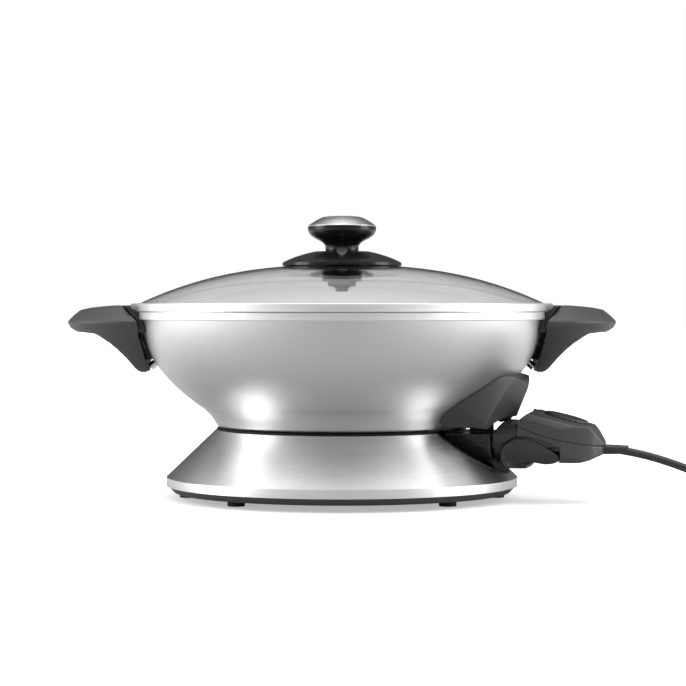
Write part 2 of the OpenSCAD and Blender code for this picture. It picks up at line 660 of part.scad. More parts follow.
module probe_collar() {
    color([0.13, 0.13, 0.14]) probe_frame() difference() {
        intersection() {
            front(collar_from, collar_to) both(collar_half(0));
            side(80) polygon([[collar_from, 33], [collar_to, 33], [collar_to, 65], [161, 69.5], [156, 72.6],
                [152, 72.6], [147, 66], [collar_from, 60]]);
        }
        intersection() {
            front(collar_from + 3, collar_to + 1) both(collar_half(3.4));
            plan(43.4, 80) square(400, center = true);
        }
        pin_hole(90);
        trigger_space();
        for (v = [-terminal_v, terminal_v]) translate([120, v, terminal_z]) rotate([0, 90, 0])
            cylinder(60, r = contact_r + 0.05, $fn = 40);
        translate([120, 0, terminal_z]) rotate([0, 90, 0]) cylinder(60, r = rod_r + 0.05, $fn = 40);
    }
}

// Rounded top edges, run along the sloped top
module slope_frame() { translate([probe_top[0], 0, probe_top[1]]) rotate([0, probe_slope, 0]) children(); }
function crown_half(t) = [[0, -60], [probe_half_w - t, -60], [probe_half_w - t, -15], [probe_half_w - 1 - t, -8],
    [probe_half_w - 4 - t, -3 - t / 2], [probe_half_w - 10, -t], [0, -t]];
module upper_block(t) {
    intersection() {
        side(80) polygon(concat(
            [[164 + t, 71.6 - t / 2], [171.5 + t / 2, 77.6 - t], probe_top - [0, t], [226 - t / 2, 68.3 - t],
             [230.5 - t, 63.6 - t / 2], [tail_u - t, 53 - t / 4], [tail_u - t, 20], [164 + t, 20]]));
        plan(20, 100) both_plan(concat(probe_plan_half(t)));
        slope_frame() front(-60, 80) both(crown_half(t));
    }
}
module above_seam() { side(90) polygon(concat(seam, [[260, 50.3], [260, 120], [seam[0][0], 120]])); }

dial_s = 28;                 // centre of the dial along the sloped top
dial_pocket = 5;
lamp_s = 0.5;                // centre of the lamp along the sloped top
lamp_r = 3;
dimples = [[190.6, 70.4], [223.3, 61.6]];
module probe_upper() {
    color([0.3, 0.3, 0.31]) probe_frame() difference() {
        intersection() { upper_block(0); above_seam(); }
        difference() {
            upper_block(shell_wall);
            slope_frame() translate([-100, -50, -dial_pocket - shell_wall]) cube([200, 100, 100]);
        }
        slope_frame() translate([dial_s, 0, -dial_pocket]) cylinder(20, r = dial_r + play);
        slope_frame() translate([dial_s, 0, -dial_pocket - 10]) cylinder(20, r = 3.4 + play, $fn = 32);
        slope_frame() translate([lamp_s, 0, -10]) cylinder(20, r = lamp_r + 0.05, $fn = 32);
        for (d = dimples) for (m = [-1, 1]) translate([d[0], m * (probe_plan_y(d[0]) + 1), d[1]])
            rotate([90, 0, 0]) cylinder(3, r = 4.4, center = true, $fn = 32);
    }
}
// Half width of the probe at a distance, for the dimples
function probe_plan_y(u) = u < 200 ? probe_half_w : probe_half_w - 0.6 - (u - 204) * 0.2;

trigger_pivot = [160, 42];
trigger_half_w = 30.5;
trigger_wall = 3;
trigger_tip = [[197.6, 20], [197.6, 34.8], [200.9, 37], [202.2, 40.6]];
module trigger_space() {
    side(90) polygon(concat([[148.9, 20]], trigger_tip, [[202.2, 46], [196, 45.6], [160, 41.4], [148.9, 40.8]]));
    for (m = [0, 1]) mirror([0, m, 0]) translate([0, trigger_half_w - 6.6, 0])
        side_from(20) polygon(concat([[148.9, 20]], trigger_tip, [[202.2, 50.6], [196, 49.8], [160, 46], [148.9, 45.6]]));
    for (m = [0, 1]) mirror([0, m, 0]) translate([0, trigger_half_w - trigger_wall - play, 0])
        side_from(20) polygon(concat([[148.9, 20]], trigger_tip, [[202.2, 46.3], [200.7, 48.8],
            [195.9, 52.1], [187.1, 55.9], [177.8, 58.3], [171.3, 59.2], [164.6, 58.9], [161.6, 57.9], [156.8, 54.8],
            [151.4, 51.3], [150.2, 46.2], [149.1, 41.2]]));
}
// Hole for the trigger's pin, of a length across
module pin_hole(length) {
    translate([trigger_pivot[0], 0, trigger_pivot[1]]) rotate([90, 0, 0])
        cylinder(length, r = 2.1, center = true, $fn = 32);
}
// Outline in (outward, height), run sideways from zero to a width
module side_from(width) { rotate([90, 0, 0]) translate([0, 0, -width]) linear_extrude(width) children(); }

module probe_lower() {
    color([0.27, 0.27, 0.28]) probe_frame() difference() {
        intersection() {
            side(80) polygon([[collar_to, 80], [collar_to, 36], [203, 36], [211, 35.8], [219, 36.4], [227, 38.6],
                [235.6, 42.6], [tail_u - 0.4, 45.6], [tail_u - 0.4, 80]]);
            plan(20, 100) both_plan(probe_plan_half(0));
            front(150, 250) both([[0, 34], [14, 34], [22, 36.5], [27, 41], [probe_half_w, 48], [probe_half_w, 90], [0, 90]]);
        }
        translate([0, 0, fit]) above_seam_solid();
        trigger_space();
        intersection() {
            side(2 * (probe_half_w - trigger_wall - shell_wall - 1)) polygon([[168, 90], [168, 50], [190, 50],
                [193, 53], [203, 53], [207.5, 40], [222, 40.4], [233, 44.6], [233, 90]]);
            plan(20, 100) both_plan(probe_plan_half(shell_wall + 1));
        }
        translate([150, 0, tail_z]) rotate([0, 90, 0]) cylinder(120, r = cord_d / 2 + 1.2, $fn = 40);
    }
}
module above_seam_solid() { translate([0, 0, -2 * fit]) above_seam(); }

module sensing_rod() {
    color("silver") probe_frame() translate([sleeve_from + 2.5, 0, terminal_z]) rotate([0, 90, 0])
        cylinder(collar_to - fit - sleeve_from - 2.5, r = rod_r, $fn = 40);
}

contact_r = 4.6;
contact_from = 116;
module contact(v) {
    color([0.75, 0.65, 0.4]) probe_frame() translate([contact_from, v, terminal_z]) rotate([0, 90, 0]) difference() {
        cylinder(collar_to - fit - contact_from, r = contact_r, $fn = 40);
        translate([0, 0, -1]) cylinder(terminal_end - contact_from + 3, r = terminal_r + play, $fn = 40);
    }
}

module thermostat() {
    color([0.6, 0.55, 0.45]) probe_frame() translate([168.4, -17, 50 + fit]) cube([20, 34, 8]);
}

module lamp_lens() {
    color("orange") probe_frame() slope_frame() translate([lamp_s, 0, -shell_wall]) cylinder(shell_wall + 0.6, r = lamp_r, $fn = 32);
}

relief_from = tail_u - 8;
relief_to = tail_u + 3;
module strain_relief() {
    color([0.05, 0.05, 0.05]) probe_frame() difference() {
        translate([relief_from, 0, tail_z]) rotate([0, 90, 0]) cylinder(relief_to - relief_from, r = cord_d / 2 + 1, $fn = 40);
        above_tail();
    }
}
module above_tail() { translate([relief_from - 1, -20, 48.1]) cube([tail_u - relief_from + 1, 40, 20]); }

module dial() {
    color([0.1, 0.1, 0.11]) probe_frame() slope_frame() translate([dial_s, 0, 0]) difference() {
        union() {
            translate([0, 0, play - dial_pocket]) cylinder(dial_pocket + dial_proud - play - 1, r = dial_r);
            translate([0, 0, dial_proud - 1]) cylinder(1, r = dial_r - 1);
            translate([0, 0, -dial_pocket - 5]) cylinder(6, r = 3.4, $fn = 32);
        }
        for (i = [0 : dial_ribs - 1]) rotate(360 * i / dial_ribs) translate([dial_r + 0.6, 0, play - dial_pocket - 1])
            cylinder(20, r = 1.3, $fn = 20);
        translate([-0.6, 6, dial_proud - 0.8]) cube([1.2, dial_r - 8, 2]);
    }
}

function trigger_half(t) = [[0, 29.8 + t], [12, 29.8 + t], [18 - t / 2, 31.4 + t], [24 - t, 36 + t / 2],
    [trigger_half_w - t, 44], [trigger_half_w - t, 70], [0, 70]];
module trigger() {
    color([0.09, 0.09, 0.1]) probe_frame() difference() {
        intersection() {
            side(2 * trigger_half_w) polygon([[149.5, 37.3], [149.8, 40.7], [150.8, 45.7], [152.6, 50], [157.4, 53.8],
                [162.4, 56.4], [166.7, 57], [173, 56.6], [179.2, 54.9], [187.6, 51.4], [196, 46.4], [200.2, 43.2],
                [201.4, 40.8], [200.2, 38], [196.8, 35.6], [191.5, 34.6], [187.6, 34.6], [181.4, 35.6], [175.2, 37],
                [170.9, 37.3], [168.4, 36.8], [170.3, 34.9], [172.2, 33.4], [170, 30], [162.5, 29.7], [153.5, 29.9],
                [151.2, 31.6]]);
            front(140, 205) both(trigger_half(0));
        }
        front(139, 206) both([[0, 39.6], [23, 39.6], [trigger_half_w - trigger_wall, 44.5],
            [trigger_half_w - trigger_wall, 80], [0, 80]]);
        pin_hole(2 * trigger_half_w - 2.4);
    }
}

module trigger_pin() {
    color("silver") probe_frame() translate([trigger_pivot[0], 0, trigger_pivot[1]]) rotate([90, 0, 0])
        cylinder(2 * trigger_half_w - 3, r = 2, center = true, $fn = 32);
}

// ---- Cord -------------------------------------------------------------------------------

// Route from the probe to the coil, in the probe's frame
cord_route = [[241, 0, 47.6], [248, 0, 47.2], [262, 0, 45], [278, 0, 41.5], [294, 0, 36.8], [308, 0, 32],
    [322, 0, 26.8], [336, 0, 21.4], [350, 0, 16.4], [364, 0, 12], [378, 0, 8.6], [392, 0, 6.2],
    [406, 0, 5], [413, 0, 4.8]];
// Route from the coil to the plug, in the probe's frame
tail_route = [[413, 88, 12.5], [399, 88, 12.2], [385, 88, 11.2], [374, 88, 10.4], [366, 88, 10.2]];
coil_x = 420;
coil_low_z = 4.8;
coil_turns = 2.5;

function unit(v) = v / norm(v);
function tangent(p, i) = unit(p[min(i + 1, len(p) - 1)] - p[max(i - 1, 0)]);
function end_tangent(p, i, first, last) = i == 0 ? first : i == len(p) - 1 ? last : tangent(p, i);
function ring(c, t, r, n) = let (s = unit(cross(t, [0, 0, 1])), w = cross(s, t))
    [for (k = [0 : n - 1]) c + r * (cos(360 * k / n) * s + sin(360 * k / n) * w)];
module tube(p, first, last, sides) {
    count = len(p);
    rings = [for (i = [0 : count - 1]) each ring(p[i], end_tangent(p, i, first, last), cord_d / 2, sides)];
    walls = [for (i = [0 : count - 2]) for (k = [0 : sides - 1]) let (a = i * sides + k,
        b = i * sides + (k + 1) % sides) each [[a, b, b + sides], [a, b + sides, a + sides]]];
    caps = [[for (k = [sides - 1 : -1 : 0]) k], [for (k = [0 : sides - 1]) (count - 1) * sides + k]];
    polyhedron(rings, concat(walls, caps));
}

// Coil: spirals in on the lower layer, climbs where it turns back, spirals out on the upper one
coil_centre = [coil_x, 44];
function coil_radius(turn) = coil_r - coil_pitch * min(turn, coil_turns - turn);
function coil_height(turn) = let (s = min(1, max(0, (turn - (coil_turns - 0.5) / 2) / 0.5)))
    coil_low_z + coil_pitch * s * s * (3 - 2 * s);
coil_steps = 24 * coil_turns;
coil_loops = [for (i = [0 : coil_steps]) let (turn = i / 24, a = -90 + 360 * turn)
    [coil_centre[0] + coil_radius(turn) * cos(a), coil_centre[1] + coil_radius(turn) * sin(a), coil_height(turn)]];
coil_points = concat([[413, 0, coil_low_z]], coil_loops,
    [[413, coil_centre[1] + coil_r, coil_low_z + coil_pitch]]);

// Least gap between turns: points more than a quarter turn apart along the coil
coil_gap = min([for (i = [0 : len(coil_points) - 1]) for (j = [i + 7 : 1 : len(coil_points) - 1])
    norm(coil_points[i] - coil_points[j])]) - cord_d;
echo(coil_gap = coil_gap);
function run_length(p) = len(p) < 2 ? 0 : norm(p[1] - p[0]) + run_length([for (i = [1 : len(p) - 1]) p[i]]);
echo(cord_length = run_length(cord_route) + run_length(coil_points) + run_length(tail_route));

module cord() { color([0.05, 0.05, 0.05]) probe_frame() tube(cord_route, [1, 0, 0], [1, 0, 0], 10); }
module cord_coil() { color([0.05, 0.05, 0.05]) probe_frame() tube(coil_points, [1, 0, 0], [-1, 0, 0], 6); }
module cord_tail() { color([0.05, 0.05, 0.05]) probe_frame() tube(tail_route, [-1, 0, 0], [-1, 0, 0], 10); }

tie_w = 8;
tie_t = 0.8;
tie_from = coil_r - 1.25 * coil_pitch - cord_d / 2 - 0.6;
tie_to = coil_r - 0.25 * coil_pitch + cord_d / 2 + 0.6;
tie_low = coil_low_z - cord_d / 2 - 0.3;
tie_high = coil_low_z + coil_pitch + cord_d / 2 + 0.3;
module coil_tie() {
    color([0.1, 0.1, 0.1]) probe_frame() translate([coil_centre[0], coil_centre[1], 0]) difference() {
        translate([tie_from - tie_t, -tie_w / 2, tie_low - tie_t])
            cube([tie_to - tie_from + 2 * tie_t, tie_w, tie_high - tie_low + 2 * tie_t]);
        translate([tie_from, -tie_w, tie_low]) cube([tie_to - tie_from, 2 * tie_w, tie_high - tie_low]);
    }
}

plug_face = 366;
plug_l = 32;
plug_w = 24;
plug_h = 19;
plug_z = 10.2;
module plug() {
    color([0.05, 0.05, 0.05]) probe_frame() translate([plug_face - plug_l, 88, plug_z]) intersection() {
        translate([0, -plug_w / 2, -plug_h / 2]) cube([plug_l, plug_w, plug_h]);
        plan(-20, 20) both_plan([[0, plug_w / 2], [10, plug_w / 2], [22, 8], [plug_l, 6.5]]);
    }
}
blade_l = 17;
module plug_blade(m) {
    color("silver") probe_frame() translate([plug_face - plug_l - blade_l, 88 + m * 6.35 - 0.75, plug_z - 3.2])
        cube([blade_l, 1.5, 6.4]);
}

// ---- All pieces -------------------------------------------------------------------------

base_skirt();
base_tray();
seam_ring();
notch_trim();
heat_shield();
for (i = [0 : 5]) foot(i);
for (i = [0 : 2]) tray_screw(i);
release_dial();
release_ring();
bowl();
lock_stub();
heating_element();
terminal(-terminal_v);  // terminal_near
terminal(terminal_v);  // terminal_far
sensor_sleeve();
socket();
guard();
mirror([1, 0, 0]) handle();  // handle_left
handle();  // handle_right
mirror([1, 0, 0]) bracket();  // bracket_left
bracket();  // bracket_right
mirror([1, 0, 0]) stud();  // stud_left
stud();  // stud_right
lid_glass();
lid_hoop();
lid_gasket();
vent_plate();
lid_boss();
knob();
knob_cap();
vent_pointer();
knob_screw();
vent_shutter();
probe_collar();
probe_upper();
probe_lower();
sensing_rod();
contact(-terminal_v);  // contact_near
contact(terminal_v);  // contact_far
thermostat();
lamp_lens();
strain_relief();
cord();
cord_coil();
cord_tail();
coil_tie();
plug();
plug_blade(-1);  // plug_blade_1
plug_blade(1);  // plug_blade_2
dial();
trigger();
trigger_pin();
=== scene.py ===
import math

import bmesh
import bpy
from mathutils import Matrix, Vector


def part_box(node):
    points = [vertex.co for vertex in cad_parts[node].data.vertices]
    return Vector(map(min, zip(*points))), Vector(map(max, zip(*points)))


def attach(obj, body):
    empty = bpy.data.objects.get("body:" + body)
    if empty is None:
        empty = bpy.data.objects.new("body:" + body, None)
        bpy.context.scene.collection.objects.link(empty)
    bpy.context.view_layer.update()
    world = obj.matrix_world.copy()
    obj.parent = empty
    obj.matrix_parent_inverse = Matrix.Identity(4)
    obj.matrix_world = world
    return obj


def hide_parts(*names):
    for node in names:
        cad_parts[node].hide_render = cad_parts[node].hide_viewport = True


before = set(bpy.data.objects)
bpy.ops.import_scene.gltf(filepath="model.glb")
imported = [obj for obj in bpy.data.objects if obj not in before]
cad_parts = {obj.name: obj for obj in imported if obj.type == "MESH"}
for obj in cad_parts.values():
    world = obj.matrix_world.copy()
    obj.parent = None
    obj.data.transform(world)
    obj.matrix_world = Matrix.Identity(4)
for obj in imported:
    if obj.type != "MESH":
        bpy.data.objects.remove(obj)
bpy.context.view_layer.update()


# ---- Camera ---------------------------------------------------------------------------
# A long lens at the height of the bowl's rim, two metres in front of the wok and almost
# level. Lengths in this script are metres, and mm turns a drawing's millimetres into them.

mm = 0.001
photo_px = 686
focal_px = 2200
film_width = 36
camera_side = 0.9 * mm
camera_distance = 1980 * mm
camera_height = 173.3 * mm
horizon_row = 305

camera_data = bpy.data.cameras.new("camera")
camera_data.sensor_width = film_width
camera_data.lens = film_width * focal_px / photo_px
camera = bpy.data.objects.new("camera", camera_data)
camera.location = (camera_side, -camera_distance, camera_height)
tilt = math.atan((photo_px / 2 - horizon_row) / focal_px)
camera.rotation_euler = (math.pi / 2 - tilt, 0, 0)
bpy.context.scene.collection.objects.link(camera)
bpy.context.scene.camera = camera
bpy.context.scene.view_settings.view_transform = "Standard"


# ---- Studio ---------------------------------------------------------------------------
# White table, white surroundings and three soft boxes. The table is lit, so it keeps the
# contact shadows, and a share of its own white carries it up to the paper white of the
# backdrop. Only metal sees a darker strip of it in front, a painted reflection that draws
# the bowl's soft gradient.

class Socket:
    """A shader socket on which patterns are written as expressions."""

    def __init__(self, nodes, socket):
        self.nodes = nodes
        self.socket = socket

    def math(self, operation, other=None):
        sockets = {0: self} if other is None else {0: self, 1: other}
        return self.nodes.add("ShaderNodeMath", {"operation": operation}, sockets)

    def __add__(self, other):
        return self.math("ADD", other)

    def __rsub__(self, other):
        return self.nodes.value(other).math("SUBTRACT", self)

    def __mul__(self, other):
        return self.math("MULTIPLY", other)

    __radd__ = __add__
    __rmul__ = __mul__


class Nodes:
    """Adds the nodes of one material or of the world."""

    def __init__(self, tree):
        self.tree = tree

    def add(self, kind, settings=None, sockets=None, out=0):
        node = self.tree.nodes.new(kind)
        for name, setting in (settings or {}).items():
            if name == "stops":
                ramp = node.color_ramp
                for i, (place, colour) in enumerate(setting):
                    stop = ramp.elements[i] if i < 2 else ramp.elements.new(place)
                    stop.position = place
                    stop.color = colour
            else:
                setattr(node, name, setting)
        for key, value in (sockets or {}).items():
            if isinstance(value, Socket):
                self.tree.links.new(value.socket, node.inputs[key])
            else:
                node.inputs[key].default_value = value
        return Socket(self, node.outputs[out])

    def value(self, number):
        node = self.tree.nodes.new("ShaderNodeValue")
        node.outputs[0].default_value = number
        return Socket(self, node.outputs[0])

    def place(self):
        """Object coordinates."""
        return self.add("ShaderNodeTexCoord", out=3)

    def axes(self, place):
        split = self.tree.nodes.new("ShaderNodeSeparateXYZ")
        self.tree.links.new(place.socket, split.inputs[0])
        return [Socket(self, output) for output in split.outputs]

    def noise(self, vector, scale, detail=3, roughness=0.5):
        sockets = {"Vector": vector, "Scale": scale, "Detail": detail, "Roughness": roughness}
        return self.add("ShaderNodeTexNoise", {"normalize": True}, sockets)

    def mix(self, factor, first, second):
        sockets = {0: factor, 6: first, 7: second}
        return self.add("ShaderNodeMix", {"data_type": "RGBA"}, sockets, out=2)

    def vector(self, x, y, z):
        return self.add("ShaderNodeCombineXYZ", {}, {0: x, 1: y, 2: z})

    def bump(self, height, distance, strength=1.0):
        sockets = {"Height": height, "Distance": distance, "Strength": strength}
        return self.add("ShaderNodeBump", {}, sockets)

    def camera_ray(self):
        return self.add("ShaderNodeLightPath", out=0)

    def shadow_ray(self):
        return self.add("ShaderNodeLightPath", out=1)

    def glossy_ray(self):
        return self.add("ShaderNodeLightPath", out=3)

    def transmission_ray(self):
        return self.add("ShaderNodeLightPath", out=6)


def grey(level):
    return (level, level, level, 1)


def set_socket(nodes, shader, key, value):
    if isinstance(value, Socket):
        nodes.tree.links.new(value.socket, shader.inputs[key])
    else:
        shader.inputs[key].default_value = value


def finish(name, **sockets):
    """A material, its node helper and its principled shader."""
    material = bpy.data.materials.new(name)
    material.use_nodes = True
    shader = material.node_tree.nodes["Principled BSDF"]
    nodes = Nodes(material.node_tree)
    for key, value in sockets.items():
        set_socket(nodes, shader, key.replace("_", " "), value)
    return material, nodes, shader


table_half = 14
table_tone = 0.85
own_white, own_white_in_metal = 0.42, 0.05
far_rise, far_most = 0.35, 0.6
# Width and depth of the darker strip that only metal sees in front: painted reflection shade.
painted_reflection_narrowing, painted_reflection_depth = 3, 0.53


def white_table():
    material, nodes, shader = finish("table_white")
    nodes.tree.nodes.remove(shader)
    x, y, _ = nodes.axes(nodes.place())
    glossy = nodes.glossy_ray()
    white = nodes.camera_ray().math("MAXIMUM", nodes.transmission_ray())
    far = ((x * x + y * y) * far_rise).math("MINIMUM", far_most)
    share = white * (far + own_white) + glossy * own_white_in_metal
    # Glossy rays see the table darker in a strip in front: painted reflection shade on the bowl.
    painted_reflection_strip = 1 - (x * x * painted_reflection_narrowing).math("MINIMUM", 1.0)
    level = table_tone - glossy * painted_reflection_strip * painted_reflection_depth
    colour = nodes.add("ShaderNodeCombineColor", {}, {0: level, 1: level, 2: level})
    lit = nodes.add("ShaderNodeBsdfDiffuse", {}, {"Color": colour})
    glow = nodes.add("ShaderNodeEmission", {}, {"Color": grey(1), "Strength": share})
    both = nodes.add("ShaderNodeAddShader", {}, {0: lit, 1: glow})
    nodes.tree.links.new(both.socket, nodes.tree.nodes["Material Output"].inputs[0])
    return material


def table():
    mesh = bpy.data.meshes.new("table")
    corners = [(-table_half, -table_half, 0), (table_half, -table_half, 0),
               (table_half, table_half, 0), (-table_half, table_half, 0)]
    mesh.from_pydata(corners, [], [(0, 1, 2, 3)])
    mesh.materials.append(white_table())
    floor = bpy.data.objects.new("table", mesh)
    bpy.context.scene.collection.objects.link(floor)


def surroundings():
    """Room that metal and light see, from the camera's side round to the back wall."""
    world = bpy.data.worlds.new("studio")
    bpy.context.scene.world = world
    world.use_nodes = True
    nodes = Nodes(world.node_tree)
    direction = nodes.add("ShaderNodeTexCoord", out=0)
    behind = nodes.axes(direction)[1] * 0.5 + 0.5
    tones = [(0.0, 0.42), (0.1, 0.45), (0.4, 0.9), (0.66, 0.9), (0.84, 0.3), (1.0, 0.08)]
    stops = [(place, grey(tone)) for place, tone in tones]
    room = nodes.add("ShaderNodeValToRGB", {"stops": stops}, {0: behind})
    white = nodes.camera_ray().math("MAXIMUM", nodes.transmission_ray())
    level = white + (1 - white) * room
    back = world.node_tree.nodes["Background"]
    back.inputs[0].default_value = grey(1)
    world.node_tree.links.new(level.socket, back.inputs[1])


def soft_box(name, place, target_height, width, height, power):
    """A rectangular lamp, aimed at a point of the wok's axis."""
    lamp = bpy.data.lights.new(name, "AREA")
    lamp.shape = "RECTANGLE"
    lamp.size = width
    lamp.size_y = height
    lamp.energy = power
    box = bpy.data.objects.new(name, lamp)
    box.location = place
    aim = Vector((0, 0, target_height)) - Vector(place)
    box.rotation_euler = aim.to_track_quat("-Z", "Y").to_euler()
    bpy.context.scene.collection.objects.link(box)


table()
surroundings()
soft_box("left_box", (-1.6, -0.2, 0.6), 0.12, width=1.0, height=1.2, power=15)
soft_box("right_box", (1.6, -0.2, 0.6), 0.12, width=1.0, height=1.2, power=14)
soft_box("top_box", (0, -0.25, 1.7), 0.1, width=2.2, height=1.3, power=21)


# ---- Cord -----------------------------------------------------------------------------
# Black rubber-jacketed lead, 7 mm across. It leaves the tail of the heat control, sags to
# the table, lies in a tied coil to the right of the view, and ends in its plug.

probe_angle = math.radians(15)
cord_diameter = 7
cord_exit = (241, 0, 47.6)
cord_route = [cord_exit, (248, 0, 47.2), (262, 0, 45), (278, 0, 41.5), (294, 0, 36.8),
              (308, 0, 32), (322, 0, 26.8), (336, 0, 21.4), (350, 0, 16.4), (364, 0, 12),
              (378, 0, 8.6), (392, 0, 6.2), (406, 0, 5), (413, 0, 4.8)]
tail_route = [(413, 88, 12.5), (399, 88, 12.2), (385, 88, 11.2), (374, 88, 10.4), (366, 88, 10.2)]
coil_middle = (420, 44)
coil_radius = 44
coil_pitch = 7.7
coil_height = 4.8
coil_turns = 2.5
coil_climb_turns = 0.5
coil_steps = 24


def on_probe(u, v, z):
    """A point of the heat control's drawing: outward, to the back, up, in millimetres."""
    c, s = math.cos(probe_angle), math.sin(probe_angle)
    return Vector(((u * c + v * s) * mm, (v * c - u * s) * mm, z * mm))


def coil_point(turn):
    """Inward for half of the turns and outward for the rest, one layer up on the way."""
    angle = 2 * math.pi * turn - math.pi / 2
    radius = coil_radius - coil_pitch * min(turn, coil_turns - turn)
    start = (coil_turns - coil_climb_turns) / 2
    climb = min(1, max(0, (turn - start) / coil_climb_turns))
    height = coil_height + coil_pitch * climb * climb * (3 - 2 * climb)
    return (coil_middle[0] + radius * math.cos(angle),
            coil_middle[1] + radius * math.sin(angle), height)


def eased(points, steps=3):
    """The route with a smooth curve through its points."""
    result = []
    for i in range(len(points) - 1):
        a, b = points[i], points[i + 1]
        before = points[i - 1] if i else a * 2 - b
        after = points[i + 2] if i + 2 < len(points) else b * 2 - a
        for k in range(steps):
            t = k / steps
            slope = (b - before) * t
            square = (2 * before - 5 * a + 4 * b - after) * t ** 2
            cube = (3 * a - before - 3 * b + after) * t ** 3
            result.append(0.5 * (2 * a + slope + square + cube))
    return result + [points[-1]]


def jacket_rubber():
    material, nodes, shader = finish("jacket_rubber", Roughness=0.42)
    place = nodes.place()
    grain = nodes.noise(place, 900, 2)
    cloud = nodes.noise(place, 60, 3)
    set_socket(nodes, shader, "Base Color", nodes.mix(cloud, grey(0.016), grey(0.028)))
    set_socket(nodes, shader, "Normal", nodes.bump(grain, 0.06 * mm))
    return material


def cord_curve(points):
    curve = bpy.data.curves.new("cord", "CURVE")
    curve.dimensions = "3D"
    curve.bevel_depth = cord_diameter / 2 * mm
    curve.bevel_resolution = 6
    curve.use_fill_caps = True
    spline = curve.splines.new("POLY")
    fine = eased(points)
    spline.points.add(len(fine) - 1)
    for point, place in zip(spline.points, fine):
        point.co = (*place, 1)
    spline.use_smooth = True
    curve.materials.append(rubber)
    return curve


rubber = jacket_rubber()
coil_route = [coil_point(i / coil_steps) for i in range(int(coil_steps * coil_turns) + 1)]
cord_points = [on_probe(*point) for point in cord_route + coil_route + tail_route]
cord = bpy.data.objects.new("cord_lead", cord_curve(cord_points))
bpy.context.scene.collection.objects.link(cord)
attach(cord, "probe")
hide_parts("cord", "cord_coil", "cord_tail")


# ---- Base -----------------------------------------------------------------------------
# A cone of circle-brushed sheet with a polished upright band at its foot, notched on the
# right for the heat control. A dark moulding lines the notch, a dull near-black ring in the
# gap round the opening paints the shade under the bowl, and a black tray screwed up from
# below closes the underside.

base_r, base_top_r, base_top_z = 157.5, 113.4, 61.8
band_top, band_low = 19.7, 12
sheet = 1.2
lip_width = 9.5
shoulder_in, shoulder_corner, shoulder_h = 3, 1, 2.8
cone_slope = (base_top_z - band_top - shoulder_h) / (base_r - shoulder_in - base_top_r)
notch_half_w, notch_low, notch_gap = 52, 26.5, 1.8
notch_from, notch_to, notch_above = 60, 190, 90
tray_hole_r, tray_r, tray_low, tray_t = 21, 156.5, 6, 2
tray_rim_r, tray_rim_t, tray_rim_z = 156.1, 2, 16


def shown(name, mesh, materials, body, nodes):
    """A finished mesh that rides on a body and stands for nodes of the frame."""
    piece = bpy.data.objects.new(name, mesh)
    bpy.context.scene.collection.objects.link(piece)
    for material in materials:
        mesh.materials.append(material)
    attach(piece, body)
    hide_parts(*nodes)
    return piece


def dressed(node, material):
    """A node of the frame whose shape stays, with its own finish."""
    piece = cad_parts[node]
    piece.data.materials.clear()
    piece.data.materials.append(material)
    return piece


def smooth_by_angle(mesh, degrees=35):
    for polygon in mesh.polygons:
        polygon.use_smooth = True
    mesh.set_sharp_from_angle(angle=math.radians(degrees))


def bend(a, b, c, steps=8):
    """Quadratic curve through two ends, drawn towards a corner."""
    a, b, c = Vector(a), Vector(b), Vector(c)
    points = [a * (1 - t) ** 2 + b * 2 * t * (1 - t) + c * t ** 2
              for t in [k / steps for k in range(steps + 1)]]
    return [(p.x, p.y) for p in points]


def rounded(outline, radius, steps=4, closed=True):
    """The outline with each corner turned into an arc of at most that radius."""
    most = 0.45
    result = []
    count = len(outline)
    for i, corner in enumerate(outline):
        if not closed and i in (0, count - 1):
            result.append(corner)
            continue
        c = Vector(corner)
        before = Vector(outline[i - 1]) - c
        after = Vector(outline[(i + 1) % count]) - c
        cut_back = min(radius, before.length * most, after.length * most)
        result += bend(c + before.normalized() * cut_back, c, c + after.normalized() * cut_back,
                       steps)
    return result


def turned(outline, segments=240, inner=None):
    """Mesh turned about the wok's axis. Faces for which inner(r, z) holds get slot 1."""
    mesh = bpy.data.meshes.new("turned")
    form = bmesh.new()
    rings = []
    for r, z in outline:
        if r < 1e-6:
            rings.append([form.verts.new((0, 0, z * mm))])
            continue
        angles = [2 * math.pi * k / segments for k in range(segments)]
        rings.append([form.verts.new((r * mm * math.cos(a), r * mm * math.sin(a), z * mm))
                      for a in angles])
    for i, ring in enumerate(rings):
        follow = rings[(i + 1) % len(rings)]
        if len(ring) == 1 and len(follow) == 1:
            continue
        r = (outline[i][0] + outline[(i + 1) % len(outline)][0]) / 2
        z = (outline[i][1] + outline[(i + 1) % len(outline)][1]) / 2
        for k in range(segments):
            k2 = (k + 1) % segments
            if len(ring) == 1:
                corners = [ring[0], follow[k2], follow[k]]
            elif len(follow) == 1:
                corners = [ring[k], ring[k2], follow[0]]
            else:
                corners = [ring[k], ring[k2], follow[k2], follow[k]]
            face = form.faces.new(corners)
            face.material_index = 1 if inner and inner(r, z) else 0
    bmesh.ops.recalc_face_normals(form, faces=form.faces)
    form.to_mesh(mesh)
    form.free()
    smooth_by_angle(mesh)
    return mesh


def evaluated(body):
    """The mesh of an object with its modifiers applied. The object goes."""
    view = bpy.context.evaluated_depsgraph_get()
    made = bpy.data.meshes.new_from_object(body.evaluated_get(view))
    bpy.data.objects.remove(body)
    return made


